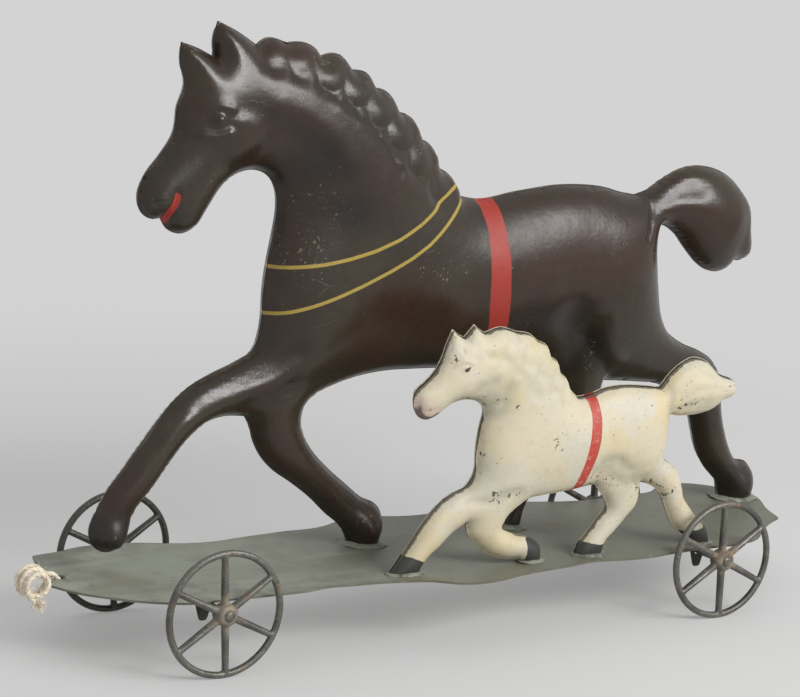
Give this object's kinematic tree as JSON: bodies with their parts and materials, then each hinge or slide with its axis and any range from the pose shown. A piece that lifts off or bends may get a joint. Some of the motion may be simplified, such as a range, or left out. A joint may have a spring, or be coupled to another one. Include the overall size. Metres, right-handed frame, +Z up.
{
  "type": "tin horse platform toy",
  "caption": "Pull toy: a large trotting horse and a small companion of pressed tin, soldered on a wavy tin platform with spoked cast-iron wheels and a knotted string.",
  "frame": {"origin": "on the floor under the wheels, under the middle of the toy's length and width without its string", "axes": "-X is the way the horses trot, -Y is their left side, where the small horse stands, and +Z is up"},
  "size_m": [0.3321, 0.0945, 0.2148],
  "materials": {
    "grey_green_paint": "worn grey-green paint, matt",
    "bracket_tin": "dark aged tin",
    "axle_wire": "brown aged iron wire",
    "cast_iron": "worn grey casting with rust at the hubs",
    "dark_brown_japan": "glossy near-black brown varnish with small scratches",
    "cream_paint": "aged cream paint with dark chips",
    "solder": "dull soft solder",
    "cotton_string": "cream cotton string"
  },
  "bodies": {
    "toy_body": {"platform": "grey_green_paint", "front_axle_bracket": "bracket_tin", "rear_axle_bracket": "bracket_tin", "big_horse_left_half": "dark_brown_japan", "big_horse_right_half": "dark_brown_japan", "small_horse_left_half": "cream_paint", "small_horse_right_half": "cream_paint", "big_horse_fore_hoof_solder": "solder", "big_horse_middle_hoof_solder": "solder", "big_horse_rear_hoof_solder": "solder", "small_horse_front_hoof_solder": "solder", "small_horse_bent_hoof_solder": "solder", "small_horse_middle_hoof_solder": "solder", "small_horse_rear_hoof_solder": "solder", "pull_string": "cotton_string"},
    "front_wheelset": {"front_axle": "axle_wire", "front_left_wheel": "cast_iron", "front_right_wheel": "cast_iron"},
    "rear_wheelset": {"rear_axle": "axle_wire", "rear_left_wheel": "cast_iron", "rear_right_wheel": "cast_iron"}
  },
  "joints": [
    {"name": "front_axle_spin", "type": "hinge", "parent": "toy_body", "child": "front_wheelset", "pos_m": [-0.1139, 0, 0.02225], "axis": [0, 1, 0], "continuous": true},
    {"name": "rear_axle_spin", "type": "hinge", "parent": "toy_body", "child": "rear_wheelset", "pos_m": [0.0969, 0, 0.02225], "axis": [0, 1, 0], "continuous": true}
  ]
}
